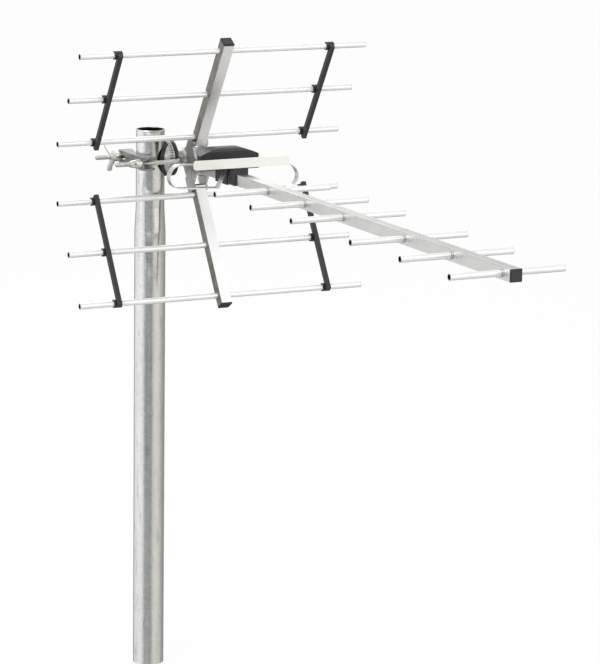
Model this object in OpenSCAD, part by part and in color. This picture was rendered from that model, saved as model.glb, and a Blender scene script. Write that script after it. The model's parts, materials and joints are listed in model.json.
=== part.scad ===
// Outdoor television aerial: a long boom with six directors, a folded dipole in front
// of a corner reflector, and a tilting clamp that grips a swaged steel mast.
// Millimetres. Z runs up the axis of the mast, X along the rods, and the boom points to -Y.
// The origin is the centre of the foot of the mast.

/* [Mast] */
// Outside diameter of the mast
mast_d = 42.4; // [40:0.2:46]
// Outside diameter of its narrowed top, which the clamp grips
neck_d = 38.8; // [36:0.2:39.8]
// Wall of the mast tube
mast_wall = 1.6; // [1.2:0.1:2.4]
// Height of the mast
mast_h = 749; // [742:1:760]
// Length of the narrowed top
neck_h = 106; // [90:1:140]
// Length of the taper under it
taper_h = 33; // [20:1:60]

/* [Clamp] */
// Distance of the axis of the clamp below the top of the mast
clamp_drop = 41; // [36:1:50]
// Distance between the two legs of the U-bolt
leg_span = 69; // [66:0.5:76]
// Diameter of the U-bolt
bolt_d = 6; // [5:0.5:6.5]
// Inner turn of the two corners of the U-bolt
bolt_turn = 8; // [8:0.5:10]
// Length of the legs past the seat of the nuts
leg_out = 36; // [30:1:50]
// Length of the jaw across the mast
jaw_l = 84; // [82:1:96]
// Height of the jaw
jaw_h = 17.5; // [15:0.5:22]
// Sheet of the jaw
jaw_t = 2.5; // [2:0.1:3]
// Distance from the axis of the mast to the back of the jaw
jaw_back = 29.5; // [28:0.5:33]
// Slope of each side of the vee in the jaw
jaw_vee = 16; // [12:1:20]
// Radius of the saddle and of the two toothed discs
disc_r = 24.2; // [23:0.1:25]
// Thickness of the plastic pad between the saddle and the mast
pad_t = 4.5; // [3.5:0.25:5]
// Distance from the axis of the mast to the meeting teeth
teeth_x = 23; // [22.6:0.1:24]
// Number of teeth round each disc
teeth = 40; // [24:4:48]
// Depth of a tooth
tooth_h = 0.8; // [0.5:0.1:1]
// Thickness of the toothed disc on the bracket, behind its teeth
disc_t = 3.6; // [3:0.1:5]
// Thickness of the plastic retainer that keeps the U-bolt in place
retainer_t = 4.2; // [3.6:0.1:5]
// Radius of the neck that joins the toothed disc to the bracket
pivot_r = 10.4; // [10:0.1:12]

/* [Wing nuts] */
// Length of the hub of a wing nut
nut_l = 14; // [11:0.5:16]
// Diameter of the hub at its seat
nut_d = 12.6; // [11:0.2:13]
// Distance between the tips of the wings
wing_span = 38; // [32:0.5:40]
// Thickness of a wing
wing_t = 2.4; // [1.8:0.1:3]
// Diameter of the washer under the nut
washer_d = 13; // [12:0.5:15]
// Thickness of that washer
washer_t = 1.5; // [1:0.1:2]

/* [Boom] */
// Width and height of the square boom
boom_w = 15; // [14:0.5:16]
// Wall of the boom
boom_wall = 1.2; // [1:0.1:1.6]
// Distance from the hub to the front end of the boom
boom_reach = 869; // [862:1:950]
// Distance of the axis of the boom below the axis of the clamp
boom_drop = 8; // [4:1:12]
// Distance of the boom beside the mast
boom_x = 60.3; // [58:0.1:64]
// Distance of the hub in front of the mast
hub_y = 20; // [19:0.5:24]

/* [Bracket] */
// Thickness of each cheek of the bracket
cheek_t = 3.6; // [3:0.1:4.2]
// Length of the socket that holds the boom
socket_l = 30; // [26:1:36]
// Wall round the boom in that socket
socket_wall = 3; // [2.5:0.1:3.5]
// Diameter of the shank of the boom screw
boom_screw_d = 5; // [4:0.5:6]

/* [Reflector] */
// Width of a square reflector arm
arm_w = 15; // [14:0.5:15]
// Wall of an arm
arm_wall = 1.2; // [1:0.1:1.6]
// Lean of each arm towards the front
arm_lean = 31.65; // [28:0.05:34]
// Height at which an arm's axis crosses the plane of the hub
arm_root = 24; // [23:0.5:27]
// Distance along the arm to its first rod
rod_first = 18.7; // [18.5:0.1:21]
// Distance between the rods on an arm
rod_pitch = 73.4; // [60:0.1:90]
// Length of the arm past its last rod
arm_tail = 15.4; // [10:0.1:25]
// Diameter of the rods
rod_d = 8; // [5:0.1:9]
// Wall of the rods and directors
rod_wall = 0.8; // [0.5:0.1:1.2]
// Length of a reflector rod
rod_l = 415; // [380:1:450]
// Distance of the spacers from the boom
spacer_x = 154; // [120:1:180]
// Width and depth of a spacer bar
spacer_w = 6; // [5:0.5:8]

/* [Directors] */
// Distance of the first director from the hub
director_first = 237; // [220:1:260]
// Distance between the three near directors
near_pitch = 107.5; // [95:0.5:110]
// Distance between the three far directors
far_pitch = 118; // [100:0.5:120]
// Distance of the last director behind the front end of the boom
director_tail = 21; // [15:0.5:40]
// Length of the two longest directors
director_l = 165; // [150:0.5:175]
// How much shorter each next pair is
director_step = 7.75; // [4:0.25:10]
// Outside diameter of a director
director_d = 8; // [5:0.1:9]
// Height of the crimped bead that locks a director in the boom
bead_h = 0.6; // [0.4:0.1:1]

/* [Dipole] */
// Distance of the dipole from the hub
dipole_y = 117; // [115:0.5:120]
// Length of the dipole loop
dipole_l = 189; // [170:0.5:210]
// Height of the loop
dipole_h = 32.5; // [31.5:0.25:34]
// Height of the middle of the loop above the axis of the boom
dipole_up = 1.5; // [1:0.25:2.5]
// Roll of the loop in its seat, in degrees
dipole_roll = 2.8; // [0:0.2:3]
// Width of the aluminium strip
strip_w = 10; // [8:0.5:11]
// Thickness of the strip
strip_t = 1.6; // [1.2:0.1:2]
// Half of the opening in the lower run
feed_gap = 22; // [20:0.5:28]
// Length of the bar in front of the dipole
bar_l = 140; // [120:0.5:160]
// Height of that bar
bar_h = 12.6; // [10:0.2:14]
// Thickness of that bar
bar_t = 2; // [1.5:0.1:2.5]
// Distance of that bar from the hub
bar_y = 143; // [140:0.5:146]
// Height of that bar above the axis of the boom
bar_z = 22.6; // [22:0.2:25]

/* [Box] */
// Radius of the round back of the dipole box
box_r = 43; // [40:0.5:46]
// Distance of the flat front of the box from the hub
box_y = 104; // [103:0.5:107]
// Wall of the box
box_wall = 2; // [1.6:0.1:2.4]
// Height of the tray under the lid
tray_h = 8; // [7:0.5:10]
// Height of the crown of the lid above the axis of the boom
lid_z = 37.5; // [35:0.5:40]
// Drop of the lid from its crown to its sides
lid_fall = 9.5; // [8:0.5:11]
// Drop of the lid from its crown to its back
lid_slope = 8; // [6:0.5:10]
// Distance of the crown behind the flat front
crown_back = 14; // [12:0.5:16]
// Turn of the lid from its crown down to the flat front
brow_r = 22; // [20:0.5:30]
// Thickness of the clip legs that hug the boom
leg_t = 2.2; // [1.8:0.1:2.6]

/* [Hidden] */
$fn = 48;

// Clearances
turn_gap = 0.05; // between faces that turn on each other
slip_gap = 0.1; // round a piece that slides into a socket
grip_gap = 0.1; // between the clamp and the round of the mast
cut = 1; // how far a cutting shape runs past a face

// Clamp sizes that follow
clamp_z = mast_h - clamp_drop;
boom_z = clamp_z - boom_drop;
bolt_r = bolt_d / 2;
neck_r = neck_d / 2;
turn_mid = bolt_turn + bolt_r;
back_x = teeth_x + 2 * turn_gap + tooth_h + disc_t;
bight_x = back_x + slip_gap + bolt_r;
corner_x = bight_x - turn_mid;
corner_y = leg_span / 2 - turn_mid;
leg_end = -(jaw_back + leg_out);
root_x = teeth_x - tooth_h;
floor_t = 1.7; // metal left between the pad and the roots of the teeth
pad_floor = root_x - floor_t;
pad_in = neck_r + grip_gap;
tilt_swing = 9; // how far the slot lets the bracket tilt, either way
slot_h = bolt_r / cos(tilt_swing) + pivot_r * tan(tilt_swing) + slip_gap;

// Bracket and reflector sizes that follow
half_boom = boom_w / 2;
half_arm = arm_w / 2;
inner_x = max(half_boom, half_arm) + slip_gap;
cheek_x = inner_x + cheek_t;
back_plate = 2.4; // the plate of the bracket behind the foot of each arm
nut_across = 1.8 * boom_screw_d; // corners of the boom nut, and the head of its screw
boom_grip = half_boom + socket_wall; // from the axis of the boom to the seats of its screw
nut_h = 4;
rod_r = rod_d / 2;
director_r = director_d / 2;
arm_end = rod_first + 2 * rod_pitch + arm_tail;
arm_start = 8; // where the foot of an arm stands in its socket
arm_wrap = rod_first - rod_r - 1.2; // how far the bracket reaches up an arm
cap_t = 2.3; // head of a plastic end cap
plug_l = 9; // plug of a cap inside its tube
head_h = 2.6; // head of a screw
socket_front = -24;
socket_back = socket_front + socket_l;
clamp_y = hub_y; // the clamp axis seen from the hub

// Dipole box sizes that follow
tray_z = half_boom + 0.7;
split_z = tray_z + tray_h;
crown_y = box_y - crown_back;
floor_z = tray_z + box_wall;
nose_y = bar_y - bar_t / 2;
nose_z = dipole_h / 2 + dipole_up - strip_t - 1;
leg_x = half_boom + leg_t + slip_gap;
post_t = 5; // the post behind the front bar
lid_post_r = 3; // the posts round the lid screws
screw_r = 1.6; // shank of the small screws
hole_r = screw_r + slip_gap;
socket_at = [24, 28]; // the aerial socket, from the middle of the flat front
socket_r = 4.75; // outside of its thread
board_w = 40;
board_l = 24;
board_gap = 2; // between the board and the wall of the box in front of it
board_mid = -3;
board_feet = 14; // from the middle of the board to each foot
feet_in = 16; // from the flat front of the box to the feet of the board
peg_r = 1.2; // hole in the board over each foot
foot_r = 2.5; // the feet under it
shoulder_w = 3; // of the box beside its legs
tunnel = 60; // how far the cut round the boom runs past the front of the box, both ways
cut_out = 1.4; // width of the boom's lower face that each leg hooks under
tab_play = 0.7; // room for them to turn with the loop
tab_in = 2; // how far the two ends of the loop go up into the tray
board_z = floor_z + 3;
board_t = 1.6;

// Places a child in the frame of the hub: the boom's axis, in the plane of the arms
module at_hub() {
    translate([boom_x, -hub_y, boom_z]) children();
}

// Places a child on the axis of the clamp, with its own Z along X
module on_clamp_axis(x = 0) {
    translate([x, 0, clamp_z]) rotate([0, 90, 0]) children();
}

// Extrudes a Y-Z outline along X
module along_x(x, t) {
    translate([x, 0, 0]) rotate([90, 0, 90]) linear_extrude(t) children();
}

// Extrudes an X-Z outline along -Y, from y = -front + t to y = -front
module along_y(front, t) {
    translate([0, -front + t, 0]) rotate([90, 0, 0]) linear_extrude(t) children();
}

// A round bar along X, centred
module bar_along_x(l, r) {
    rotate([0, 90, 0]) cylinder(h = l, r = r, center = true);
}

// A tube along X, centred
module tube_along_x(l, r, wall) {
    difference() {
        bar_along_x(l, r);
        bar_along_x(l + 2 * cut, r - wall);
    }
}

// Puts a child on the axis of an arm: side is 1 for the upper one and -1 for the lower
module on_arm(side) {
    at_hub() scale([1, 1, side])
        translate([0, 0, arm_root]) rotate([arm_lean, 0, 0]) children();
}

module mast() {
    top_bore = neck_r - mast_wall;
    lip = mast_wall / 2;
    color("lightsteelblue") rotate_extrude($fn = 96) polygon([
        [mast_d / 2 - mast_wall, 0],
        [mast_d / 2, 0],
        [mast_d / 2, mast_h - neck_h - taper_h],
        [neck_r, mast_h - neck_h],
        [neck_r, mast_h - lip],
        [neck_r - lip / 2, mast_h],
        [top_bore + lip / 2, mast_h],
        [top_bore, mast_h - lip],
        [top_bore, mast_h - neck_h],
        [mast_d / 2 - mast_wall, mast_h - neck_h - taper_h]
    ]);
}

// Plan of the jaw: a plain back and a shallow vee that meets the mast on both sides
module jaw_plan() {
    mouth = (pad_in - jaw_l / 2 * sin(jaw_vee)) / cos(jaw_vee);
    apex = pad_in / cos(jaw_vee);
    nip = 2;
    tip = 5;
    half = jaw_l / 2;
    tip_x = -mouth - tip * (tan(jaw_vee) + 1 / cos(jaw_vee));
    touch = [tip_x + tip * cos(jaw_vee), half - tip - tip * sin(jaw_vee)];
    polygon([
        [-jaw_back, -half + nip],
        [-jaw_back + nip, -half],
        [tip_x, -half],
        [touch[0], -touch[1]],
        [-apex, 0],
        touch,
        [tip_x, half],
        [-jaw_back + nip, half],
        [-jaw_back, half - nip]
    ]);
    for (y = [-1, 1] * (half - tip)) translate([tip_x, y]) circle(r = tip);
}

module clamp_jaw() {
    leg_hole_r = bolt_r + 0.3;
    slot_l = 13; // how far each hole runs towards the middle
    color("silver") difference() {
        translate([0, 0, clamp_z - jaw_h / 2]) linear_extrude(jaw_h) jaw_plan();
        translate([-jaw_back + jaw_t, -jaw_l / 2 - cut, clamp_z - jaw_h / 2 + jaw_t])
            cube([2 * jaw_back, jaw_l + 2 * cut, jaw_h - 2 * jaw_t]);
        for (side = [-1, 1]) {
            translate([-jaw_back - cut, side * leg_span / 2, clamp_z]) rotate([0, 90, 0])
                cylinder(h = jaw_t + 2 * cut, r = leg_hole_r);
            translate([-jaw_back - cut, side * (leg_span / 2 - slot_l), clamp_z]) rotate([0, 90, 0])
                cylinder(h = jaw_t + 2 * cut, r = leg_hole_r);
            translate([-jaw_back - cut, side * (leg_span / 2 - slot_l / 2) - slot_l / 2, clamp_z - leg_hole_r])
                cube([jaw_t + 2 * cut, slot_l, 2 * leg_hole_r]);
        }
    }
}

module bolt_corner(side) {
    translate([corner_x, side * corner_y, clamp_z])
        intersection() {
            rotate_extrude() translate([turn_mid, 0]) circle(r = bolt_r);
            translate([0, side > 0 ? 0 : -2 * turn_mid, -bolt_d])
                cube([2 * turn_mid, 2 * turn_mid, 2 * bolt_d]);
        }
}

module u_bolt() {
    nib = 1; // chamfer on the end of a leg
    color("lightgray") union() {
        for (side = [-1, 1]) {
            translate([0, side * leg_span / 2, 0]) on_clamp_axis(leg_end + nib)
                cylinder(h = corner_x - leg_end - nib, r = bolt_r);
            translate([0, side * leg_span / 2, 0]) on_clamp_axis(leg_end)
                cylinder(h = nib, r1 = bolt_r - nib / 2, r2 = bolt_r);
            bolt_corner(side);
        }
        translate([bight_x, corner_y, clamp_z]) rotate([90, 0, 0])
            cylinder(h = 2 * corner_y, r = bolt_r);
    }
}

// A square-cornered vee of half angle 45 degrees that opens to -X, with a flat floor:
// its sides lie off the axis of the mast by reach
module vee_plan(reach, floor_x) {
    far = 2 * disc_r;
    tip = reach * sqrt(2);
    polygon([
        [tip - far, -far],
        [floor_x, floor_x - tip],
        [floor_x, tip - floor_x],
        [tip - far, far]
    ]);
}

module vee(reach, floor_x) {
    translate([0, 0, clamp_z - 2 * disc_r]) linear_extrude(4 * disc_r) vee_plan(reach, floor_x);
}

module mast_pad() {
    front_x = pad_in * sqrt(2) - disc_r;
    pad_slack = 0.05;
    color("dimgray") difference() {
        intersection() {
            on_clamp_axis(front_x) cylinder(h = root_x - front_x, r = disc_r - 0.6);
            vee(pad_in + pad_t - pad_slack, pad_floor - pad_slack);
        }
        vee(pad_in, pad_in + slip_gap);
    }
}

// Radial grooves that leave the teeth of a disc standing
module tooth_grooves(face_x, inward) {
    groove_w = 2 * PI * disc_r / teeth * 0.62;
    for (i = [0:teeth - 1])
        translate([face_x, 0, clamp_z]) rotate([i * 360 / teeth, 0, 0])
            translate([0, pivot_r + 2, 0]) rotate([-90, 0, 0]) linear_extrude(disc_r)
                polygon([
                    [-inward * slip_gap, -groove_w / 2],
                    [-inward * slip_gap, groove_w / 2],
                    [inward * tooth_h, groove_w / 5],
                    [inward * tooth_h, -groove_w / 5]
                ]);
}

module saddle_disc() {
    front_x = (pad_in + pad_t) * sqrt(2) - disc_r;
    bevel = 1.2;
    color("darkgray") difference() {
        union() {
            on_clamp_axis(front_x) cylinder(h = bevel, r1 = disc_r - bevel, r2 = disc_r);
            on_clamp_axis(front_x + bevel) cylinder(h = teeth_x - front_x - bevel, r = disc_r);
        }
        vee(pad_in + pad_t, pad_floor);
        tooth_grooves(teeth_x, -1);
    }
}

// A plastic disc with a rib along the bolt, which lies in a channel in its left face
module bolt_retainer() {
    rib_r = bolt_r + 1.6;
    start_x = back_x + slip_gap;
    color("dimgray") difference() {
        union() {
            on_clamp_axis(start_x) cylinder(h = retainer_t, r = disc_r);
            intersection() {
                translate([bight_x, disc_r, clamp_z]) rotate([90, 0, 0])
                    cylinder(h = 2 * disc_r, r = rib_r);
                on_clamp_axis(start_x) cylinder(h = 4 * rib_r, r = disc_r);
            }
        }
        on_clamp_axis(start_x - cut) cylinder(h = 4 * rib_r, r = pivot_r + 0.2);
        translate([bight_x, disc_r + cut, clamp_z]) rotate([90, 0, 0])
            cylinder(h = 2 * (disc_r + cut), r = bolt_r + turn_gap);
        translate([start_x - cut, -disc_r - cut, clamp_z - bolt_r - turn_gap])
            cube([bight_x - start_x + cut, 2 * (disc_r + cut), bolt_d + 2 * turn_gap]);
    }
}

module nut_washer(side) {
    color("gainsboro") translate([0, side * leg_span / 2, 0])
        on_clamp_axis(-jaw_back - turn_gap - washer_t) difference() {
            cylinder(h = washer_t, d = washer_d);
            translate([0, 0, -cut]) cylinder(h = washer_t + 2 * cut, r = bolt_r + 0.2);
        }
}

// One wing, drawn with x out along the bolt and y out from its axis
module wing_plan() {
    tip_r = 3.5;
    tip_at = [nut_l + 2, wing_span / 2 - tip_r];
    polygon([
        [nut_l * 0.4, 0],
        [nut_l * 0.4, nut_d / 2 - 1.5],
        tip_at + [-tip_r * 0.94, -tip_r * 0.34],
        tip_at,
        tip_at + [tip_r * 0.9, -tip_r * 0.44],
        [nut_l - 0.4, nut_d / 2 - 2.6],
        [nut_l - 0.4, 0]
    ]);
    translate(tip_at) circle(r = tip_r);
}

// A wing nut whose wings stand at turn degrees from the vertical
module wing_nut(side, turn) {
    seat = -jaw_back - washer_t - 2 * turn_gap;
    color("whitesmoke") translate([seat, side * leg_span / 2, clamp_z]) rotate([turn, 0, 0])
        difference() {
            union() {
                rotate([0, -90, 0]) {
                    cylinder(h = nut_l * 0.36, d = nut_d);
                    translate([0, 0, nut_l * 0.36 - cut])
                        cylinder(h = nut_l * 0.64 + cut, d1 = nut_d - 1, d2 = nut_d - 4);
                }
                for (flip = [0, 180])
                    rotate([flip, 0, 0]) translate([0, wing_t / 2, 0]) rotate([90, 0, 0])
                        linear_extrude(wing_t) mirror([1, 0]) wing_plan();
            }
            rotate([0, -90, 0]) translate([0, 0, -cut])
                cylinder(h = 3 * nut_l, r = bolt_r + turn_gap);
        }
}

// Side view of one cheek: two arm sockets, the block round the boom and the pivot lobe
module cheek_plan() {
    socket_w = half_arm + 2.6;
    lip_w = half_arm - 0.4;
    turn = 2;
    for (side = [-1, 1])
        scale([1, side]) translate([0, arm_root]) rotate(arm_lean) {
            translate([-lip_w, -arm_root * 0.45])
                square([lip_w + socket_w, arm_root * 0.45 + arm_wrap - turn]);
            translate([turn - lip_w, 0]) square([lip_w + socket_w - 2 * turn, arm_wrap]);
            for (x = [turn - lip_w, socket_w - turn])
                translate([x, arm_wrap - turn]) circle(r = turn);
        }
    translate([socket_front, -half_boom - socket_wall])
        square([socket_l, boom_w + 2 * socket_wall]);
    polygon([
        [-6, arm_root + 6],
        [socket_front + 5, half_boom + socket_wall],
        [socket_front + 5, -half_boom - socket_wall],
        [-6, -arm_root - 6],
        [8, -arm_root + 2],
        [clamp_y, boom_drop - pivot_r - 2],
        [clamp_y, boom_drop + pivot_r + 1],
        [8, arm_root + 1]
    ]);
    translate([clamp_y, boom_drop]) circle(r = pivot_r + 2);
}

module hub_bracket() {
    neck_end = boom_x - cheek_x + cut;
    flare_l = 5;
    bevel = 1.5;
    color("darkgray") difference() {
        union() {
            at_hub() {
                along_x(-cheek_x, cheek_t) cheek_plan();
                along_x(inner_x, cheek_t) cheek_plan();
                along_x(-inner_x - cut / 2, 2 * inner_x + cut)
                    translate([socket_front, -half_boom - socket_wall])
                        square([socket_l + socket_wall, boom_w + 2 * socket_wall]);
            }
            for (side = [-1, 1])
                on_arm(side) translate([-inner_x - cut / 2, half_arm + slip_gap, 0])
                    cube([2 * inner_x + cut, back_plate, arm_wrap - 1]);
            on_clamp_axis(teeth_x + turn_gap)
                cylinder(h = back_x - bevel - teeth_x - turn_gap, r = disc_r);
            on_clamp_axis(back_x - bevel) cylinder(h = bevel, r1 = disc_r, r2 = disc_r - bevel);
            on_clamp_axis(back_x - cut) cylinder(h = neck_end - back_x + cut, r = pivot_r);
            on_clamp_axis(neck_end - flare_l)
                cylinder(h = flare_l, r1 = pivot_r, r2 = pivot_r + 1.8);
        }
        tooth_grooves(teeth_x + turn_gap, 1);
        translate([back_x, -2 * pivot_r, clamp_z - slot_h])
            cube([bolt_d + 3 * slip_gap, 4 * pivot_r, 2 * slot_h]);
        at_hub() translate([-half_boom - slip_gap / 2, socket_front - cut, -half_boom - slip_gap / 2])
            cube([boom_w + slip_gap, socket_l + cut, boom_w + slip_gap]);
        for (side = [-1, 1])
            on_arm(side) translate([0, half_arm, (arm_start + arm_wrap) / 2])
                rotate([-90, 0, 0]) cylinder(h = 4 * back_plate, r = hole_r);
        at_hub() translate([0, socket_front / 2, -boom_w])
            cylinder(h = 2 * boom_w, r = boom_screw_d / 2 + slip_gap);
    }
}

module boom() {
    color("gainsboro") at_hub() difference() {
        along_y(boom_reach - cap_t, boom_reach - cap_t + socket_back)
            square(boom_w, center = true);
        along_y(boom_reach, boom_reach + socket_back + cut)
            square(boom_w - 2 * boom_wall, center = true);
        for (i = [0:5])
            translate([0, -director_at(i), 0]) bar_along_x(2 * boom_w, director_r + turn_gap);
        translate([0, socket_front / 2, -boom_w])
            cylinder(h = 2 * boom_w, r = boom_screw_d / 2 + slip_gap);
    }
}

// A square plastic cap on the end of a square tube, with its plug pointing to -Z
module end_cap(w, wall) {
    plug_w = w - 2 * wall - slip_gap;
    edge = 0.8;
    translate([0, 0, cap_t / 2]) cube([w, w, cap_t], center = true);
    translate([-w / 2 + edge, -w / 2 + edge, cap_t])
        cube([w - 2 * edge, w - 2 * edge, edge / 2]);
    difference() {
        translate([0, 0, -plug_l / 2 + cut / 2])
            cube([plug_w, plug_w, plug_l + cut], center = true);
        translate([0, 0, -plug_l]) cube([plug_w - 3, plug_w - 3, 2 * plug_l - 2], center = true);
    }
}

module boom_front_cap() {
    color("dimgray") at_hub() translate([0, cap_t - boom_reach, 0]) rotate([90, 0, 0])
        end_cap(boom_w, boom_wall);
}

module boom_screw() {
    past_nut = 2;
    color("dimgray") at_hub() translate([0, socket_front / 2, -boom_grip]) {
        translate([0, 0, -head_h]) cylinder(h = head_h, d1 = 1.5 * boom_screw_d, d2 = nut_across);
        cylinder(h = 2 * boom_grip + nut_h + past_nut, d = boom_screw_d);
    }
}

module boom_nut() {
    color("whitesmoke") at_hub() translate([0, socket_front / 2, boom_grip]) difference() {
        cylinder(h = nut_h, d = nut_across, $fn = 6);
        translate([0, 0, -cut]) cylinder(h = nut_h + 2 * cut, d = boom_screw_d + turn_gap);
    }
}

module arm(side) {
    color("gainsboro") on_arm(side) difference() {
        translate([-half_arm, -half_arm, arm_start])
            cube([arm_w, arm_w, arm_end - cap_t - arm_start]);
        translate([-half_arm + arm_wall, -half_arm + arm_wall, arm_start - cut])
            cube([arm_w - 2 * arm_wall, arm_w - 2 * arm_wall, arm_end]);
        for (i = [0:2])
            translate([0, 0, rod_first + i * rod_pitch]) bar_along_x(2 * arm_w, rod_r + turn_gap);
        translate([0, 0, (arm_start + arm_wrap) / 2]) rotate([-90, 0, 0])
            cylinder(h = arm_w, r = hole_r);
    }
}

module upper_arm() { arm(1); }
module lower_arm() { arm(-1); }

module arm_cap(side) {
    color("dimgray") on_arm(side) translate([0, 0, arm_end - cap_t]) end_cap(arm_w, arm_wall);
}

module upper_arm_cap() { arm_cap(1); }
module lower_arm_cap() { arm_cap(-1); }

module arm_screws() {
    seat = half_arm + slip_gap + back_plate;
    shank_l = 6; // how far the shank runs in from the face of the plate
    color("whitesmoke") for (side = [-1, 1])
        on_arm(side) translate([0, seat, (arm_start + arm_wrap) / 2]) rotate([-90, 0, 0]) {
            cylinder(h = head_h, d1 = 7.4, d2 = 5.4);
            translate([0, 0, -shank_l]) cylinder(h = shank_l + cut, r = screw_r);
        }
}

module reflector_rod(side, i) {
    color("gainsboro") on_arm(side) translate([0, 0, rod_first + i * rod_pitch])
        tube_along_x(rod_l, rod_r, rod_wall);
}

module reflector_rod_1() { reflector_rod(1, 2); }
module reflector_rod_2() { reflector_rod(1, 1); }
module reflector_rod_3() { reflector_rod(1, 0); }
module reflector_rod_4() { reflector_rod(-1, 0); }
module reflector_rod_5() { reflector_rod(-1, 1); }
module reflector_rod_6() { reflector_rod(-1, 2); }

// A plastic bar in front of three rods, with a clip open to the back on each rod
module spacer(side, hand) {
    clip_l = 11;
    clip_r = rod_r + 1.6;
    bar_y0 = -rod_r - 0.6 - spacer_w;
    color("dimgray") on_arm(side) translate([hand * spacer_x, 0, 0]) difference() {
        union() {
            translate([-spacer_w / 2, bar_y0, rod_first - clip_r])
                cube([spacer_w, spacer_w, 2 * rod_pitch + 2 * clip_r]);
            for (i = [0:2])
                translate([0, 0, rod_first + i * rod_pitch]) bar_along_x(clip_l, clip_r);
        }
        for (i = [0:2])
            translate([0, 0, rod_first + i * rod_pitch]) {
                bar_along_x(2 * clip_l, rod_r + turn_gap / 2);
                translate([-clip_l, 0, -rod_r * 0.7]) cube([2 * clip_l, 2 * clip_r, rod_r * 1.4]);
            }
    }
}

module spacer_upper_left() { spacer(1, -1); }
module spacer_upper_right() { spacer(1, 1); }
module spacer_lower_left() { spacer(-1, -1); }
module spacer_lower_right() { spacer(-1, 1); }

// Distance of a director from the hub, and its length: the three near ones are placed from
// the dipole's end of the boom, and the three far ones from its front end
function director_at(i) =
    i < 3 ? director_first + i * near_pitch
    : boom_reach - director_tail - (5 - i) * far_pitch;
function director_len(i) = director_l - floor(i / 2) * director_step;

// A director is one tube, crimped to a bead on each side of the boom
module director(i) {
    bead_w = 1.6;
    color("gainsboro") at_hub() translate([0, -director_at(i), 0]) difference() {
        union() {
            bar_along_x(director_len(i), director_r);
            for (x = [-1, 1] * (half_boom + bead_w / 2))
                translate([x, 0, 0]) bar_along_x(bead_w, director_r + bead_h);
        }
        bar_along_x(director_len(i) + 2 * cut, director_r - rod_wall);
    }
}

module director_1() { director(0); }
module director_2() { director(1); }
module director_3() { director(2); }
module director_4() { director(3); }
module director_5() { director(4); }
module director_6() { director(5); }

// A flat bar outline with round ends
module stadium(l, h) {
    square([l - h, h], center = true);
    for (x = [-1, 1] * (l - h) / 2) translate([x, 0]) circle(d = h);
}

// Front view of the folded strip: a long loop, open in the middle of its lower run
module loop_plan() {
    difference() {
        stadium(dipole_l, dipole_h);
        stadium(dipole_l - 2 * strip_t, dipole_h - 2 * strip_t);
        translate([-feed_gap, -dipole_h / 2 - cut]) square([2 * feed_gap, strip_t + 2 * cut]);
    }
}

// One end of the strip, which turns up beside the boom to the box
module tab_plan() {
    foot = dipole_h / 2;
    top = [half_boom + leg_t + 1.2, tray_z - dipole_up + tab_in];
    lean = [feed_gap - top[0], -foot - top[1]];
    polygon([
        top,
        [feed_gap, -foot],
        [feed_gap + strip_t, -foot],
        [feed_gap + strip_t, -foot + strip_t],
        top + [strip_t * norm(lean) / abs(lean[1]), 0]
    ]);
}

module dipole_loop() {
    color("gainsboro") at_hub() translate([0, -dipole_y, dipole_up]) rotate([0, dipole_roll, 0]) {
        rotate([90, 0, 0]) linear_extrude(strip_w, center = true) loop_plan();
        for (turn = [0, 180])
            rotate([90, 0, turn]) linear_extrude(strip_w, center = true) tab_plan();
    }
}

// The bar is held from behind, by a screw in a blind hole
module front_bar() {
    turn = 4.5;
    color("ivory") at_hub() difference() {
        along_y(bar_y + bar_t / 2, bar_t) translate([0, bar_z]) {
            square([bar_l - 2 * turn, bar_h], center = true);
            square([bar_l, bar_h - 2 * turn], center = true);
            for (x = [-1, 1] * (bar_l / 2 - turn), z = [-1, 1] * (bar_h / 2 - turn))
                translate([x, z]) circle(r = turn);
        }
        translate([0, -nose_y - bar_t * 0.6, bar_z]) rotate([-90, 0, 0])
            cylinder(h = bar_t, r = screw_r + turn_gap);
    }
}

module bar_screw() {
    color("whitesmoke") at_hub() translate([0, -nose_y + post_t, bar_z]) rotate([-90, 0, 0]) {
        cylinder(h = 1.8, d1 = 5.6, d2 = 4);
        translate([0, 0, -post_t - bar_t / 2]) cylinder(h = post_t + bar_t / 2, r = screw_r);
    }
}

// Plan of the dipole box, drawn in by inset: a straight front and a round back
module box_plan(inset) {
    intersection() {
        circle(r = box_r - inset, $fn = 96);
        translate([-box_r, inset]) square([2 * box_r, box_r]);
    }
}

// The solid under the crowned top, drawn in by inset on every side
module crown(inset) {
    side_r = (box_r * box_r + lid_fall * lid_fall) / (2 * lid_fall);
    back_l = box_r - crown_back;
    back_r = (back_l * back_l + lid_slope * lid_slope) / (2 * lid_slope);
    intersection() {
        translate([0, -box_y, tray_z]) linear_extrude(2 * lid_z) box_plan(inset);
        translate([0, 0, lid_z - side_r]) rotate([90, 0, 0])
            cylinder(h = 4 * box_y, r = side_r - inset, center = true, $fn = 180);
        translate([0, -crown_y, lid_z - back_r])
            cylinder_x(4 * box_r, back_r - inset);
        union() {
            translate([0, -crown_y, lid_z - brow_r]) cylinder_x(4 * box_r, brow_r - inset);
            translate([-2 * box_r, -crown_y, lid_z - brow_r - 2 * lid_z])
                cube([4 * box_r, 2 * box_r, 2 * lid_z + brow_r]);
            translate([-2 * box_r, -crown_y - 2 * box_r, lid_z - brow_r - 2 * lid_z])
                cube([4 * box_r, 2 * box_r + cut, 2 * lid_z]);
        }
    }
}

module cylinder_x(l, r) {
    rotate([0, 90, 0]) cylinder(h = l, r = r, center = true, $fn = 180);
}

// Where the two lid screws stand
module lid_screw_places() {
    for (x = [-1, 1] * box_r * 0.62) translate([x, -box_y + box_r * 0.32, 0]) children();
}

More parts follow.
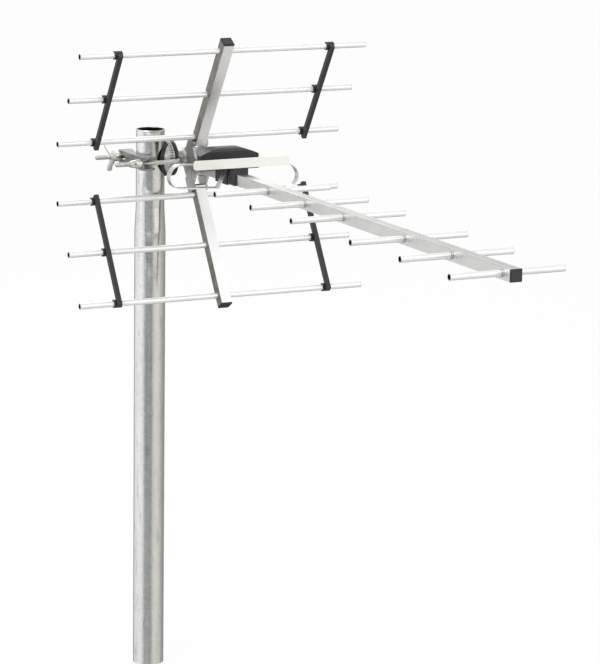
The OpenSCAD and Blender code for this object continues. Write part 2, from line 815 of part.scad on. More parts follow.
module box_base() {
    legs = [[nose_y, 120.5, half_boom + 0.3], [117.5, 81, half_boom + 2.4]]; // front, back, reach
    wide_l = 20;
    seat_drop = 0.5; // how far the nose of the box reaches down to the boom
    lip_t = 1;
    pocket_l = strip_w + 0.8; // pocket for each end of the loop
    color("dimgray") at_hub() difference() {
        union() {
            difference() {
                translate([0, -box_y, tray_z]) linear_extrude(tray_h) box_plan(0);
                translate([0, -box_y, floor_z]) linear_extrude(tray_h) box_plan(box_wall);
            }
            lid_screw_places() translate([0, 0, tray_z]) cylinder(h = tray_h, r = lid_post_r);
            for (x = [-1, 1] * board_feet)
                translate([board_mid + x, -box_y + feet_in, tray_z])
                    cylinder(h = board_z - tray_z, r = foot_r);
            translate([-leg_x - shoulder_w, -box_y - wide_l, tray_z - seat_drop])
                cube([2 * (leg_x + shoulder_w), wide_l + cut, nose_z - tray_z + seat_drop]);
            translate([-leg_x, -nose_y, tray_z - seat_drop])
                cube([2 * leg_x, nose_y - box_y, nose_z - tray_z + seat_drop]);
            translate([-leg_x, -nose_y, nose_z - cut])
                cube([2 * leg_x, post_t, bar_z + bar_h * 0.3 - nose_z + cut]);
            for (leg = legs)
                translate([-leg_x, -leg[0], -leg[2]])
                    cube([2 * leg_x, leg[0] - leg[1], leg[2] + tray_z + lip_t]);
        }
        translate([-half_boom - slip_gap / 2, -box_y - tunnel, -half_boom - slip_gap / 2])
            cube([boom_w + slip_gap, 2 * tunnel, boom_w + slip_gap]);
        translate([cut_out - half_boom, -box_y - tunnel, -2 * boom_w])
            cube([boom_w - 2 * cut_out, 2 * tunnel, 2 * boom_w]);
        for (side = [-1, 1])
            translate([side * (leg_x + shoulder_w) - shoulder_w, -dipole_y - pocket_l / 2, tray_z - cut])
                cube([2 * shoulder_w, pocket_l, cut + tab_in + tab_play]);
        lid_screw_places() translate([0, 0, tray_z - cut]) cylinder(h = tray_h + 2 * cut, r = hole_r);
        translate([0, -bar_y - cut, bar_z]) rotate([-90, 0, 0]) cylinder(h = 2 * post_t, r = hole_r);
        translate([socket_at[0], socket_at[1] - box_y, tray_z - cut])
            cylinder(h = 2 * box_wall + cut, r = socket_r + turn_gap);
    }
}

module box_lid() {
    color("dimgray") at_hub() difference() {
        union() {
            difference() {
                crown(0);
                crown(box_wall);
            }
            intersection() {
                crown(box_wall / 2);
                lid_screw_places() cylinder(h = 2 * lid_z, r = lid_post_r);
            }
        }
        translate([-2 * box_r, -3 * box_r - box_y, 0]) cube([4 * box_r, 6 * box_r, split_z]);
        lid_screw_places() translate([0, 0, split_z - cut]) cylinder(h = 7, r = hole_r);
    }
}

module lid_screws() {
    color("whitesmoke") at_hub() lid_screw_places() {
        translate([0, 0, tray_z - head_h + 1]) cylinder(h = head_h - 1, d1 = 4.4, d2 = 6);
        translate([0, 0, tray_z - cut / 2]) cylinder(h = tray_h + 5, r = screw_r);
    }
}

module balun_board() {
    color("darkgreen") at_hub() difference() {
        translate([board_mid - board_w / 2, -box_y + box_wall + board_gap, board_z])
            cube([board_w, board_l, board_t]);
        for (x = [-1, 1] * board_feet)
            translate([board_mid + x, -box_y + feet_in, board_z - cut])
                cylinder(h = board_t + 2 * cut, r = peg_r);
    }
}

module balun_can() {
    can = [18, 14, 8];
    color("silver") at_hub()
        translate([-can[0] / 2, -box_y + box_wall + board_gap + 3, board_z + board_t]) cube(can);
}

// The aerial socket looks down from the floor of the box, beside the boom
module f_connector() {
    reach = 11;
    flange_t = 2;
    tail = 4;
    color("whitesmoke") at_hub() translate([socket_at[0], socket_at[1] - box_y, tray_z])
        difference() {
            union() {
                translate([0, 0, -flange_t]) cylinder(h = flange_t, d = 14.6, $fn = 6);
                translate([0, 0, -flange_t - reach]) cylinder(h = reach + flange_t + tail, r = socket_r);
            }
            translate([0, 0, -flange_t - reach - cut]) cylinder(h = cut + 1.2, r = socket_r - 1.1);
            translate([0, 0, -flange_t - reach - cut]) cylinder(h = cut + 8, r = 0.7);
        }
}

module rear_washer() { nut_washer(1); }
module front_washer() { nut_washer(-1); }
module rear_wing_nut() { wing_nut(1, -18); }
module front_wing_nut() { wing_nut(-1, 80); }

mast();
clamp_jaw();
u_bolt();
mast_pad();
saddle_disc();
bolt_retainer();
rear_washer();
rear_wing_nut();
front_washer();
front_wing_nut();
hub_bracket();
boom();
boom_front_cap();
boom_screw();
boom_nut();
upper_arm();
lower_arm();
upper_arm_cap();
lower_arm_cap();
arm_screws();
reflector_rod_1();
reflector_rod_2();
reflector_rod_3();
reflector_rod_4();
reflector_rod_5();
reflector_rod_6();
spacer_upper_left();
spacer_upper_right();
spacer_lower_left();
spacer_lower_right();
director_1();
director_2();
director_3();
director_4();
director_5();
director_6();
dipole_loop();
front_bar();
bar_screw();
box_base();
box_lid();
lid_screws();
balun_board();
balun_can();
f_connector();
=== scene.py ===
# Outdoor television aerial on its mast, dressed for a plain studio picture.
import json
import math

import bmesh
import bpy
from mathutils import Matrix, Vector


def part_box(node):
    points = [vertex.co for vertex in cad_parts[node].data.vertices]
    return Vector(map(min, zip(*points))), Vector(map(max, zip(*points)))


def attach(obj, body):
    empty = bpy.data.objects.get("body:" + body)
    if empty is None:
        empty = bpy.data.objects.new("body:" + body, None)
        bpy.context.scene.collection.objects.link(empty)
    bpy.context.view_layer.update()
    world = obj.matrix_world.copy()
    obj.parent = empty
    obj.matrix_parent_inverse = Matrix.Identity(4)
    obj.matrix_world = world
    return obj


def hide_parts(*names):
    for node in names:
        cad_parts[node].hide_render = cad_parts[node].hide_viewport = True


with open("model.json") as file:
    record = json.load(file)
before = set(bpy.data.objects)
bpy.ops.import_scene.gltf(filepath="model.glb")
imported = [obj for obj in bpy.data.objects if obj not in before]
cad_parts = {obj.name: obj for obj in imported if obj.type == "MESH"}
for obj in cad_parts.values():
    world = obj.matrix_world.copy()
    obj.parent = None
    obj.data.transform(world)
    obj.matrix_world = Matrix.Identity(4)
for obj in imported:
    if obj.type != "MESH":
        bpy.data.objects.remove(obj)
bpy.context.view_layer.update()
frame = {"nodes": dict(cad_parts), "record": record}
nodes = frame["nodes"]
print("frame loaded:", len(nodes), "nodes")

mm = 0.001
alongX, alongY, alongZ = (1, 0, 0), (0, 1, 0), (0, 0, 1)

# Camera where the photographer stood: places in metres, the lens and its sensor in millimetres
camera = {
    "place": (-1.7517, -4.0087, 1.3817),
    "ahead": (0.4338, 0.8777, -0.2039),
    "up": (0.0778, 0.1889, 0.9789),
    "lens": 176.9,
    "sensor": 36,
    "reach": 60,
}


def addObject(name, data):
    made = bpy.data.objects.new(name, data)
    bpy.context.scene.collection.objects.link(made)
    return made


def setCamera():
    lensData = bpy.data.cameras.new("studioCamera")
    lensData.lens = camera["lens"]
    lensData.sensor_width = camera["sensor"]
    lensData.clip_end = camera["reach"]
    cam = addObject("studioCamera", lensData)
    ahead = Vector(camera["ahead"]).normalized()
    side = ahead.cross(Vector(camera["up"])).normalized()
    up = side.cross(ahead)
    turn = Matrix((side, up, -ahead)).transposed().to_4x4()
    cam.matrix_world = Matrix.Translation(camera["place"]) @ turn
    bpy.context.scene.camera = cam


setCamera()
print("camera set")


# Shader maths: a Wire is one output socket, and sums on it add Math nodes
class Wire:
    def __init__(self, finish, socket):
        self.finish, self.socket = finish, socket

    def maths(self, operation, a, b):
        return self.finish.maths(operation, a, b)

    def __add__(self, other):
        return self.maths("ADD", self, other)

    def __sub__(self, other):
        return self.maths("SUBTRACT", self, other)

    def __rsub__(self, other):
        return self.maths("SUBTRACT", other, self)

    def __mul__(self, other):
        return self.maths("MULTIPLY", self, other)

    __radd__ = __add__
    __rmul__ = __mul__


# The nodes of one material, or of the world
class Finish:
    def __init__(self, owner):
        owner.use_nodes = True
        self.owner = owner
        self.tree = owner.node_tree
        self.tree.nodes.clear()

    # Any node: its settings first, then the values or links of its inputs
    def node(self, kind, settings=None, values=None, out=0):
        made = self.tree.nodes.new(kind)
        for key, value in (settings or {}).items():
            if key == "stops":
                ramp = made.color_ramp
                while len(ramp.elements) < len(value):
                    ramp.elements.new(0.5)
                for element, (at, level) in zip(ramp.elements, value):
                    element.position = at
                    element.color = (level, level, level, 1)
            else:
                setattr(made, key, value)
        for key, value in (values or {}).items():
            if isinstance(value, Wire):
                self.tree.links.new(value.socket, made.inputs[key])
            else:
                made.inputs[key].default_value = value
        return Wire(self, made.outputs[out] if made.outputs else None)

    # Object coordinates, which are the frame's own
    def place(self, scale=(1, 1, 1), turn=(0, 0, 0), move=(0, 0, 0)):
        coords = self.node("ShaderNodeTexCoord", out=3)
        values = {"Vector": coords, "Scale": scale, "Rotation": turn, "Location": move}
        return self.node("ShaderNodeMapping", {}, values)

    def noise(self, at, scale, detail=3, rough=0.55):
        values = {"Vector": at, "Scale": scale, "Detail": detail, "Roughness": rough}
        return self.node("ShaderNodeTexNoise", {}, values)

    def ramp(self, value, stops):
        return self.node("ShaderNodeValToRGB", {"stops": stops}, {"Fac": value})

    def blend(self, factor, a, b, mode="MIX"):
        settings = {"data_type": "RGBA", "blend_type": mode}
        return self.node("ShaderNodeMix", settings, {0: factor, 6: a, 7: b}, out=2)

    def bump(self, height, distance, strength=1.0):
        values = {"Height": height, "Distance": distance, "Strength": strength}
        return self.node("ShaderNodeBump", {}, values)

    def surface(self, values):
        shader = self.node("ShaderNodeBsdfPrincipled", {}, values)
        self.node("ShaderNodeOutputMaterial", {}, {"Surface": shader})
        return self.owner

    def maths(self, operation, a, b=0.0):
        return self.node("ShaderNodeMath", {"operation": operation}, {0: a, 1: b})

    def below(self, value, limit):
        return self.maths("LESS_THAN", value, limit)

    # How far a point lies along a direction
    def dot(self, point, direction):
        settings = {"operation": "DOT_PRODUCT"}
        return self.node("ShaderNodeVectorMath", settings, {0: point, 1: direction}, out=1)

    def along(self, direction):
        return self.dot(self.place(), direction)

    # 1 inside a bore of this radius, 0 outside: its axis runs through point along X (0) or Z (2)
    def boreMask(self, point, axis, radius):
        keep = [1, 1, 1]
        keep[axis] = 0
        here = self.place(tuple(keep), move=tuple(-p * k for p, k in zip(point, keep)))
        far = self.node("ShaderNodeVectorMath", {"operation": "LENGTH"}, {0: here}, out=1)
        return self.below(far, radius)


def newFinish(name):
    return Finish(bpy.data.materials.new(name))


def shade(colour, factor=1.0):
    return tuple(min(1, c * factor) for c in colour) + (1,)


def grey(level):
    return (level, level, level, 1)


# Base colours, before shading and stains
tones = {
    "steel": (0.85, 0.86, 0.87),
    "zinc": (0.76, 0.745, 0.70),
    "bolt": (0.66, 0.65, 0.62),
    "cast": (0.543, 0.543, 0.531),
    "jaw": (0.296, 0.3, 0.296),
    "tube": (0.87, 0.87, 0.855),
    "boom": (0.82, 0.82, 0.805),
    "loop": (0.74, 0.745, 0.735),
    # Painted light: both arms are one aluminium, and the lower arm's tone is painted lighter than the upper
    # arm's
    "bright": (0.83, 0.815, 0.78),
    "lower": (0.97, 0.97, 0.965),
    "cream": (0.85, 0.835, 0.785),
    "black": (0.016, 0.016, 0.017),
}


# Drawn or rolled metal with fine streaks along one axis: returns the finish, its streaks, clouds and tone
def streaks(name, along, turn=(0, 0, 0)):
    f = newFinish(name)
    scale = [900, 900, 900]
    scale[along] = 9
    streak = f.noise(f.place(tuple(scale), turn), 1, 4, 0.6)
    cloud = f.noise(f.place(), 38, 3)
    tone = f.ramp(streak * 0.55 + cloud * 0.45, [(0.36, 0), (0.64, 1)])
    return f, streak, cloud, tone


def drawnSurface(f, streak, cloud, base, rough, depth, metal=1.0):
    return f.surface({
        "Base Color": base,
        "Metallic": metal,
        "Roughness": streak * 0.10 + cloud * 0.08 + (rough - 0.09),
        "Normal": f.bump(streak, depth, 0.5),
    })


# A strip or bar that runs along X
def drawnMetal(name, colour, rough, patch, depth):
    f, streak, cloud, tone = streaks(name, 0)
    base = f.blend(tone, shade(colour, 1 - patch), shade(colour, 1 + patch * 0.5))
    return drawnSurface(f, streak, cloud, base, rough, depth)


# The reflector rods and directors: the stops of the painted shade at the crimp are shares of its span
rods = {
    "innerRadius": 3.3 * mm,
    "boomAt": 60.3 * mm,
    "crimpSpan": 12 * mm,
    "crimpShade": [(0.0, 0), (0.63, 0.0), (0.66, 0.75), (0.75, 0.75), (0.80, 0.0), (1.0, 0)],
    "cutEnd": 0.7 * mm,
    "rough": 0.36,
    "metal": 0.6,
    "grain": 0.004 * mm,
}


# Satin tube of a rod or director: its cut ends are darker, and painted shade darkens its bore and the crimps
# beside the boom
def rodMetal(name, low, high):
    f, streak, cloud, tone = streaks(name + "Aluminium", 0)
    middle = (low + high) / 2
    base = f.blend(tone, shade(tones["tube"], 0.93), shade(tones["tube"], 1.035))
    fromBoom = f.maths("ABSOLUTE", f.along(alongX) - rods["boomAt"])
    # Painted shade: a dark ring on the rod just beside each face of the boom
    crimpShade = f.ramp(fromBoom * (1 / rods["crimpSpan"]), rods["crimpShade"])
    base = f.blend(crimpShade, base, shade(tones["tube"], 0.34))
    toEnd = (high.x - low.x) / 2 - rods["cutEnd"]
    cutEnd = f.below(toEnd, f.maths("ABSOLUTE", f.along(alongX) - middle.x))
    base = f.blend(cutEnd * 0.8, base, shade(tones["tube"], 0.5))
    # Painted shade: the bore is painted near-black, where little light gets in
    base = f.blend(f.boreMask(middle, 0, rods["innerRadius"]), base, grey(0.02))
    return drawnSurface(f, streak, cloud, base, rods["rough"], rods["grain"], rods["metal"])


arms = {
    # Painted shade: the arms' faces left of this are painted in the two darker tones below
    "shadedLeftFace": 53.1 * mm,
    "lean": math.radians(31.65),
    "shadedDark": (0.10, 0.088, 0.08, 1),
    "shadedLight": (0.34, 0.315, 0.295, 1),
    "grain": 0.02 * mm,
}


# The arms are drawn brighter, and their streaky left face is painted darker, as painted shade
def armMetal(name, colour, rough, side, metal):
    f, streak, cloud, tone = streaks(name, 2, (side * arms["lean"], 0, 0))
    base = f.blend(tone, shade(colour, 0.95), shade(colour, 1.03))
    # Painted shade: the left face takes the darker tones
    left = f.below(f.along(alongX), arms["shadedLeftFace"])
    base = f.blend(left, base, f.blend(tone, arms["shadedDark"], arms["shadedLight"]))
    return drawnSurface(f, streak, cloud, base, rough, arms["grain"], metal)


# The boom's painted highlight and shade bands run across its width, from its left edge to its right one
boomTube = {
    "left": 52.8 * mm,
    "width": 15 * mm,
    "top": 707.3 * mm,
    # Painted highlight and shade: the left edge darker, a light band, a dark line, then the rest of the face
    "bands": [(0.0, 0.66), (0.06, 0.66), (0.10, 0.96), (0.34, 0.92), (0.38, 0.58), (0.43, 0.58),
              (0.47, 0.82), (1.0, 0.80)],
    "rough": 0.31,
    "grain": 0.03 * mm,
}


# The boom's tube: painted shade and highlight run along its upper face, with its left edge darker, then a
# light band and a faint dark line
def boomMetal(name, colour):
    f, streak, cloud, tone = streaks(name, 1)
    base = f.blend(tone, shade(colour, 0.91), shade(colour, 1.04))
    across = (f.along(alongX) - boomTube["left"]) * (1 / boomTube["width"])
    # Painted highlight and shade across the upper face
    paintedEdgeBands = f.ramp(across, boomTube["bands"])
    onTop = f.below(boomTube["top"], f.along(alongZ))
    base = f.blend(onTop, base, paintedEdgeBands, "MULTIPLY")
    return drawnSurface(f, streak, cloud, base, boomTube["rough"], boomTube["grain"])


mastZinc = {
    "radius": 21.2 * mm,
    "boreRadius": 18.2 * mm,
    # Painted shade: the mast's side towards the camera's right, past the ramp below, takes the two darker
    # tones
    "shadedSide": (0.8977, -0.4405, 0),
    "bloom": [(0.50, 0), (0.62, 1)],
    "shadedDark": (0.55, 0.545, 0.50, 1),
    "shadedLight": (0.70, 0.69, 0.635, 1),
}


# Hot-dip zinc: faint crystals, runs down the tube and darker smears, and its side towards the camera's right
# is painted duller and darker as painted shade
def galvanised(name, colour):
    f = newFinish(name)
    here = f.place()
    crystal = f.node("ShaderNodeTexVoronoi", {"feature": "F1"}, {"Vector": here, "Scale": 260}, out=1)
    level = f.node("ShaderNodeRGBToBW", {}, {"Color": crystal})
    runs = f.noise(f.place((150, 150, 6)), 1, 4, 0.6)
    bloom = f.noise(here, 30, 4, 0.6)
    tone = f.ramp(level * 0.16 + runs * 0.52 + bloom * 0.32, [(0.32, 0), (0.64, 1)])
    smear = f.ramp(f.noise(f.place((210, 210, 24)), 1, 5, 0.7), [(0.57, 0), (0.66, 1)])
    outside = f.blend(tone, shade(colour, 0.86), shade(colour, 1.12))
    # Painted shade on the side towards the camera's right
    side = f.along(mastZinc["shadedSide"]) * (0.5 / mastZinc["radius"]) + 0.5
    shadedSideTone = f.blend(tone, mastZinc["shadedDark"], mastZinc["shadedLight"])
    withShadedSide = f.blend(f.ramp(side, mastZinc["bloom"]), outside, shadedSideTone)
    worn = f.blend(smear * 0.6, withShadedSide, shade(colour, 0.42))
    # Painted shade: the bore is painted dark grey, where little light gets in
    inBore = f.boreMask((0, 0, 0), 2, mastZinc["boreRadius"])
    return f.surface({
        "Base Color": f.blend(inBore, worn, grey(0.10)),
        "Metallic": 1.0,
        "Roughness": bloom * 0.12 + level * 0.05 + smear * 0.10 + 0.11,
        "Normal": f.bump(runs * 0.7 + level * 0.3, 0.05 * mm, 0.5),
    })


# Zinc plate, stained darker in patches
def plated(name, colour, rough, stained):
    f = newFinish(name)
    here = f.place()
    grain = f.noise(here, 900, 3)
    cloud = f.noise(here, 130, 4, 0.6)
    tone = f.ramp(cloud, [(0.38, 0), (0.60, 1)])
    return f.surface({
        "Base Color": f.blend(tone, shade(colour, stained), shade(colour, 1.06)),
        "Metallic": 1.0,
        "Roughness": cloud * 0.12 + (rough - 0.06),
        "Normal": f.bump(grain, 0.004 * mm, 0.4),
    })


# The band of teeth round the two discs, about the axis of the tilt
teethRim = {
    "height": 708 * mm,
    "count": 40,
    "middle": 22.5 * mm,
    "half": 3.4 * mm,
}


# Die-cast metal with a matte, streaky skin, and the teeth round the rim of its disc: bumps, and painted shade
# between them
def castMetal(name, colour):
    f = newFinish(name)
    here = f.place()
    skin = f.noise(here, 1300, 4, 0.65)
    flow = f.noise(f.place((240, 240, 80)), 1, 4, 0.65)
    tone = f.ramp(flow * 0.8 + skin * 0.2, [(0.41, 0), (0.59, 1)])
    base = f.blend(tone, shade(colour, 0.67), shade(colour, 1.10))
    up = f.along(alongZ) - teethRim["height"]
    around = f.maths("ARCTAN2", f.along(alongY), up)
    ridge = f.maths("SINE", around * teethRim["count"]) * 0.5 + 0.5
    beside = f.maths("ABSOLUTE", f.along(alongX) - teethRim["middle"])
    onRim = f.below(beside, teethRim["half"])
    # Painted shade: the gaps between the teeth are painted darker
    base = f.blend(onRim, base, f.ramp(ridge, [(0.2, 0.55), (0.7, 1.0)]), "MULTIPLY")
    return f.surface({
        "Base Color": base,
        "Metallic": 0.8,
        "Roughness": flow * 0.16 + skin * 0.12 + 0.26,
        "Normal": f.bump(skin * 0.5 + flow * 0.5 + ridge * onRim, 0.12 * mm, 0.7),
    })


# Moulded plastic with a fine spark grain and faint flow marks
def moulded(name, colour, rough, grainDepth):
    f = newFinish(name)
    here = f.place()
    grain = f.noise(here, 1900, 2)
    flow = f.noise(here, 55, 3)
    tone = f.ramp(flow, [(0.35, 0), (0.65, 1)])
    return f.surface({
        "Base Color": f.blend(tone, shade(colour, 0.82), shade(colour, 1.18)),
        "Roughness": flow * 0.14 + grain * 0.10 + (rough - 0.12),
        "Normal": f.bump(grain, grainDepth, 0.6),
        "Specular IOR Level": 0.55,
    })


# Circuit board: green lacquer over a faint weave
def boardGreen(name):
    f = newFinish(name)
    here = f.place()
    values = {"Vector": here, "Scale": 320, "Distortion": 1.5}
    weave = f.node("ShaderNodeTexWave", {"bands_direction": "X"}, values)
    tone = f.noise(here, 140, 3)
    return f.surface({
        "Base Color": f.blend(tone, (0.01, 0.10, 0.04, 1), (0.03, 0.19, 0.08, 1)),
        "Roughness": tone * 0.2 + 0.3,
        "Normal": f.bump(weave, 0.03 * mm, 0.5),
        "Coat Weight": 0.3,
    })


finishes = {
    "mast_steel": galvanised("mastZinc", tones["steel"]),
    "zinc_bright": plated("brightZinc", tones["zinc"], rough=0.25, stained=0.72),
    "bolt_zinc": plated("boltZinc", tones["bolt"], rough=0.46, stained=0.84),
    "cast_metal": castMetal("castGrey", tones["cast"]),
    "jaw_metal": castMetal("jawGrey", tones["jaw"]),
    "boom_aluminium": boomMetal("boomAluminium", tones["boom"]),
    "loop_aluminium": drawnMetal("loopAluminium", tones["loop"], rough=0.26, patch=0.10, depth=0.02 * mm),
    "cream_aluminium": drawnMetal("barAluminium", tones["cream"], rough=0.38, patch=0.05, depth=0.03 * mm),
    "upper_bright": armMetal("upperArmAluminium", tones["bright"], rough=0.30, side=-1, metal=0.78),
    "lower_bright": armMetal("lowerArmAluminium", tones["lower"], rough=0.38, side=1, metal=0.50),
    "black_plastic": moulded("blackMoulding", tones["black"], rough=0.44, grainDepth=0.05 * mm),
    "board_green": boardGreen("boardGreen"),
}

# Pieces whose finish isn't the usual one of their material
ownFinish = {
    "clamp_jaw": "jaw_metal",
    "boom": "boom_aluminium",
    "dipole_loop": "loop_aluminium",
    "upper_arm": "upper_bright",
    "lower_arm": "lower_bright",
}

# Each rod and director has a finish of its own, made to its length
for part in frame["record"]["subparts"]:
    name = part["node"]
    if name.startswith(("reflector_rod", "director")):
        finish = rodMetal(name, *(Vector(c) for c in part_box(name)))
    else:
        finish = finishes[ownFinish.get(name, part["material_slot"])]
    mesh = nodes[name].data
    if mesh.materials:
        for i in range(len(mesh.materials)):
            mesh.materials[i] = finish
    else:
        mesh.materials.append(finish)
print("finishes laid on the frame")


# A finished bmesh becomes a piece that rides on a body
def addPiece(name, bm, finish, body, smooth=35):
    bmesh.ops.remove_doubles(bm, verts=bm.verts, dist=0.002 * mm)
    bmesh.ops.recalc_face_normals(bm, faces=bm.faces)
    for face in bm.faces:
        face.smooth = True
    for edge in bm.edges:
        edge.smooth = len(edge.link_faces) == 2 and edge.calc_face_angle(0) < math.radians(smooth)
    mesh = bpy.data.meshes.new(name)
    bm.to_mesh(mesh)
    bm.free()
    mesh.materials.append(finish)
    piece = addObject(name, mesh)
    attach(piece, body)
    return piece


# A circle of edges round an axis: returns its vertices and edges
def ringAt(bm, radius, segments, centre, axis):
    turn = Vector(alongZ).rotation_difference(Vector(axis)).to_matrix()
    ring = bmesh.ops.create_circle(bm, segments=segments, radius=radius)["verts"]
    bmesh.ops.rotate(bm, verts=ring, cent=(0, 0, 0), matrix=turn)
    bmesh.ops.translate(bm, verts=ring, vec=centre)
    return ring, list({e for v in ring for e in v.link_edges})


# Extrude a loop of edges by a step, and return the new loop
def pushEdges(bm, edges, step):
    made = bmesh.ops.extrude_edge_only(bm, edges=edges)["geom"]
    verts = [g for g in made if isinstance(g, bmesh.types.BMVert)]
    bmesh.ops.translate(bm, verts=verts, vec=step)
    kept = set(verts)
    return verts, [g for g in made if isinstance(g, bmesh.types.BMEdge) and kept.issuperset(g.verts)]


# Carry a loop of edges round a quarter bend, and return the loop at its end
def bendEdges(bm, verts, edges, centre, axis, steps):
    made = bmesh.ops.spin(bm, geom=verts + edges, cent=centre, axis=axis,
                          angle=math.pi / 2, steps=steps)["geom_last"]
    return ([g for g in made if isinstance(g, bmesh.types.BMVert)],
            [g for g in made if isinstance(g, bmesh.types.BMEdge)])


# Whatever build adds to the bmesh is made at the origin and then put in its place
def putInPlace(bm, place, build):
    before = set(bm.verts)
    build()
    bmesh.ops.transform(bm, verts=[v for v in bm.verts if v not in before], matrix=place)


# A turned body round +Z, from its radius and height at each level, with both ends closed
def stackRings(bm, segments, levels, turn=0):
    verts, edges = ringAt(bm, levels[0][0], segments, (0, 0, levels[0][1]), alongZ)
    bmesh.ops.rotate(bm, verts=verts, cent=(0, 0, 0), matrix=Matrix.Rotation(turn, 3, "Z"))
    bmesh.ops.edgeloop_fill(bm, edges=edges)
    for (fromR, fromZ), (toR, toZ) in zip(levels, levels[1:]):
        verts, edges = pushEdges(bm, edges, (0, 0, toZ - fromZ))
        bmesh.ops.scale(bm, verts=verts, vec=(toR / fromR, toR / fromR, 1))
    bmesh.ops.edgeloop_fill(bm, edges=edges)


# The ridge of every thread here: where its foot and its crest begin and end, as shares of the pitch,
# how deep the foot is sunk into the core, and the steps of one turn
threadRidge = {
    "foot": (0.08, 0.90),
    "crest": (0.42, 0.56),
    "sunk": 0.03 * mm,
    "steps": 22,
}


# A right-hand thread along +Z: its closed profile, screwed up a core of the root's radius
def screwThread(bm, start, length, pitch, root, crest):
    foot = root - threadRidge["sunk"]
    (footFrom, footTo), (crestFrom, crestTo) = threadRidge["foot"], threadRidge["crest"]
    profile = [(footFrom, foot), (crestFrom, crest), (crestTo, crest), (footTo, foot)]
    verts = [bm.verts.new((r, 0, start + z * pitch)) for z, r in profile]
    edges = [bm.edges.new(pair) for pair in zip(verts, verts[1:] + verts[:1])]
    steps = threadRidge["steps"]
    count = int(length / pitch * steps)
    bmesh.ops.spin(bm, geom=verts + edges, cent=(0, 0, 0), axis=alongZ, dvec=(0, 0, pitch / steps),
                   angle=count / steps * math.tau, steps=count)
    bmesh.ops.holes_fill(bm, edges=[e for e in bm.edges if e.is_boundary], sides=0)


# The U-bolt: a straight bight, two bends and two legs with rolled threads
uBolt = {
    "radius": 3.0 * mm,
    "root": 2.70 * mm,
    "crest": 3.02 * mm,
    "pitch": 1.0 * mm,
    "bight": 30.6 * mm,
    "bend": 11.0 * mm,
    "legs": 34.5 * mm,
    "height": 708 * mm,
    "legEnd": -65.5 * mm,
    "threadTo": -21.0 * mm,
    "tip": 1.1 * mm,
    "tipRadius": 2.32 * mm,
    "shoulder": 2.97 * mm,
    "shoulderEnd": 1.43 * mm,
    "threadIn": 0.66 * mm,
    "segments": 28,
    "bendSteps": 12,
}


def makeUBolt():
    u = uBolt
    bm = bmesh.new()
    corner = u["bight"] - u["bend"]
    beside = u["legs"] - u["bend"]
    down = (0, 0, -1)
    verts, edges = ringAt(bm, u["radius"], u["segments"], (u["threadTo"], u["legs"], u["height"]), alongX)
    bmesh.ops.edgeloop_fill(bm, edges=edges)
    verts, edges = pushEdges(bm, edges, (corner - u["threadTo"], 0, 0))
    verts, edges = bendEdges(bm, verts, edges, (corner, beside, u["height"]), down, u["bendSteps"])
    verts, edges = pushEdges(bm, edges, (0, -2 * beside, 0))
    verts, edges = bendEdges(bm, verts, edges, (corner, -beside, u["height"]), down, u["bendSteps"])
    verts, edges = pushEdges(bm, edges, (u["threadTo"] - corner, 0, 0))
    bmesh.ops.edgeloop_fill(bm, edges=edges)
    length = u["threadTo"] - u["legEnd"]
    leg = [(u["tipRadius"], 0), (u["shoulder"], u["tip"]), (u["root"], u["shoulderEnd"]), (u["root"], length)]

    def makeLeg():
        stackRings(bm, u["segments"], leg)
        threaded = length - u["threadIn"] - u["pitch"]
        screwThread(bm, u["threadIn"], threaded, u["pitch"], u["root"], u["crest"])

    for side in (-1, 1):
        tip = Matrix.Translation((u["legEnd"], side * u["legs"], u["height"]))
        putInPlace(bm, tip @ Matrix.Rotation(math.pi / 2, 4, "Y"), makeLeg)
    piece = addPiece("uBoltThreaded", bm, finishes["bolt_zinc"], "clamp")
    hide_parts("u_bolt")


# The aerial socket: a hexagon under the box and a threaded barrel that looks down
socket = {
    "at": (84.3 * mm, -96 * mm),
    "seat": 708.2 * mm,
    "top": 712.2 * mm,
    "hexagon": 7.3 * mm,
    "hexagonHeight": 2 * mm,
    "length": 11 * mm,
    "root": 4.38 * mm,
    "crest": 4.74 * mm,
    "pitch": 0.8 * mm,
    "mouth": 3.65 * mm,
    "mouthDepth": 1.2 * mm,
    "pinHole": 0.7 * mm,
    "pinDepth": 8 * mm,
    "chamfer": 0.5 * mm,
    "segments": 36,
}


def makeSocket():
    c = socket
    bm = bmesh.new()
    foot = c["seat"] - c["hexagonHeight"] - c["length"]
    core = [(c["pinHole"], foot + c["pinDepth"]), (c["pinHole"], foot + c["mouthDepth"]),
            (c["mouth"], foot + c["mouthDepth"]), (c["mouth"], foot), (c["root"] - c["chamfer"] / 2, foot),
            (c["root"], foot + c["chamfer"]), (c["root"], c["top"])]
    nut = [(c["hexagon"], c["seat"] - c["hexagonHeight"]), (c["hexagon"], c["seat"])]
    length = c["length"] - 3 * c["chamfer"]

    def makeBarrel():
        stackRings(bm, c["segments"], core)
        stackRings(bm, 6, nut, math.pi / 6)
        screwThread(bm, foot + c["chamfer"], length, c["pitch"], c["root"], c["crest"])

    putInPlace(bm, Matrix.Translation((*c["at"], 0)), makeBarrel)
    piece = addPiece("socketThreaded", bm, finishes["zinc_bright"], "antenna")
    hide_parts("f_connector")


makeUBolt()
print("clamp pieces made")
makeSocket()
print("aerial socket made")


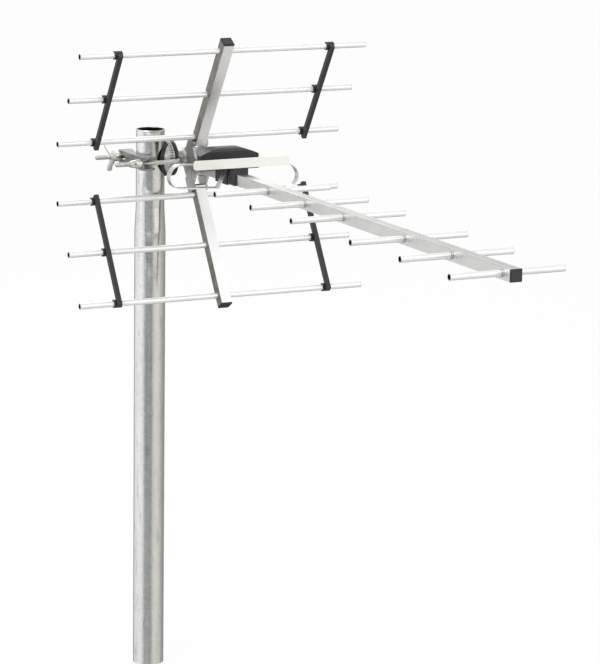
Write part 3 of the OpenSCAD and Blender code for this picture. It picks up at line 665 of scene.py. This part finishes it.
# Studio: a white floor and surround. Only metal sees the darker walls of the room: their levels
# run round from behind the aerial, past the left, the camera at 0.5 and the right, and each of
# the three heights at which they change is a ramp from the floor's 0 to the ceiling's 1
studio = {
    "floor": 0.86,
    "floorWhite": 0.94,
    "floorSize": 14,
    "surround": 0.80,
    "below": [(0.0, 0.20), (0.20, 0.24), (0.32, 0.60), (0.68, 0.74), (0.78, 0.70), (0.86, 0.30), (1.0, 0.20)],
    "toWalls": [(0.28, 0), (0.36, 1)],
    "walls": [(0.0, 0.24), (0.09, 0.26), (0.125, 0.78), (0.16, 0.84), (0.23, 0.90), (0.31, 1.0), (0.36, 0.86),
              (0.39, 0.66), (0.42, 0.34), (0.48, 0.31), (0.545, 0.34), (0.59, 0.90), (0.66, 0.99),
              (0.74, 0.84), (0.80, 0.62), (0.86, 0.44), (1.0, 0.34)],
    "toAbove": [(0.50, 0), (0.56, 1)],
    "above": [(0.0, 0.70), (0.15, 0.80), (0.33, 1.0), (0.42, 0.80), (0.60, 0.95), (0.80, 0.86), (1.0, 0.70)],
    "toCeiling": [(0.62, 0), (0.78, 1)],
    "ceiling": 0.97,
    "right": (0.8977, -0.4405, 0),
    "front": (-0.4405, -0.8977, 0),
    "lampsAim": (0.06, -0.35, 0.65),
    "lamps": {
        "keyLamp": {"place": (-2.4, -1.6, 2.9), "size": 2.4, "power": 46},
        "fillLamp": {"place": (1.8, -2.9, 1.6), "size": 2.4, "power": 16},
        "rimLamp": {"place": (0.8, 2.4, 2.4), "size": 1.4, "power": 14},
    },
}


def makeFloor():
    bm = bmesh.new()
    bmesh.ops.create_grid(bm, x_segments=1, y_segments=1, size=studio["floorSize"])
    mesh = bpy.data.meshes.new("studioFloor")
    bm.to_mesh(mesh)
    bm.free()
    floor = addObject("studioFloor", mesh)
    floor.visible_glossy = False
    f = newFinish("floorWhite")
    cameraRay = f.node("ShaderNodeLightPath", out=0)
    plain = f.node("ShaderNodeBsdfDiffuse", {}, {"Color": grey(studio["floor"])})
    white = f.node("ShaderNodeEmission", {}, {"Color": grey(1), "Strength": 1.0})
    seen = f.node("ShaderNodeMixShader", {}, {0: cameraRay * studio["floorWhite"], 1: plain, 2: white})
    f.node("ShaderNodeOutputMaterial", {}, {"Surface": seen})
    mesh.materials.append(f.owner)


def makeRoom():
    world = bpy.data.worlds.new("studioWorld")
    bpy.context.scene.world = world
    w = Finish(world)
    plainRay = w.node("ShaderNodeLightPath", out=0) + w.node("ShaderNodeLightPath", out=6)
    glossyRay = w.node("ShaderNodeLightPath", out=3)
    ahead = w.node("ShaderNodeTexCoord", out=0)
    bearing = w.maths("ARCTAN2", w.dot(ahead, studio["right"]), w.dot(ahead, studio["front"]))
    around = bearing * (1 / math.tau) + 0.5
    height = w.node("ShaderNodeSeparateXYZ", {}, {0: ahead}, out=2) * 0.5 + 0.5
    below, walls, above = (w.ramp(around, studio[band]) for band in ("below", "walls", "above"))
    low = w.blend(w.ramp(height, studio["toWalls"]), below, walls)
    sides = w.blend(w.ramp(height, studio["toAbove"]), low, above)
    room = w.blend(w.ramp(height, studio["toCeiling"]), sides, grey(studio["ceiling"]))
    lit = w.blend(plainRay, grey(studio["surround"]), grey(1))
    background = w.node("ShaderNodeBackground", {}, {0: w.blend(glossyRay, lit, room), 1: 1.0})
    w.node("ShaderNodeOutputWorld", {}, {0: background})


def makeLamp(name, place, size, power):
    data = bpy.data.lights.new(name, "AREA")
    data.shape = "SQUARE"
    data.size = size
    data.energy = power
    ahead = Vector(studio["lampsAim"]) - Vector(place)
    turn = ahead.to_track_quat("-Z", "Y").to_matrix().to_4x4()
    addObject(name, data).matrix_world = Matrix.Translation(place) @ turn


makeFloor()
makeRoom()
for name, lamp in studio["lamps"].items():
    makeLamp(name, **lamp)
bpy.context.scene.view_settings.view_transform = "Standard"
print("studio lit")
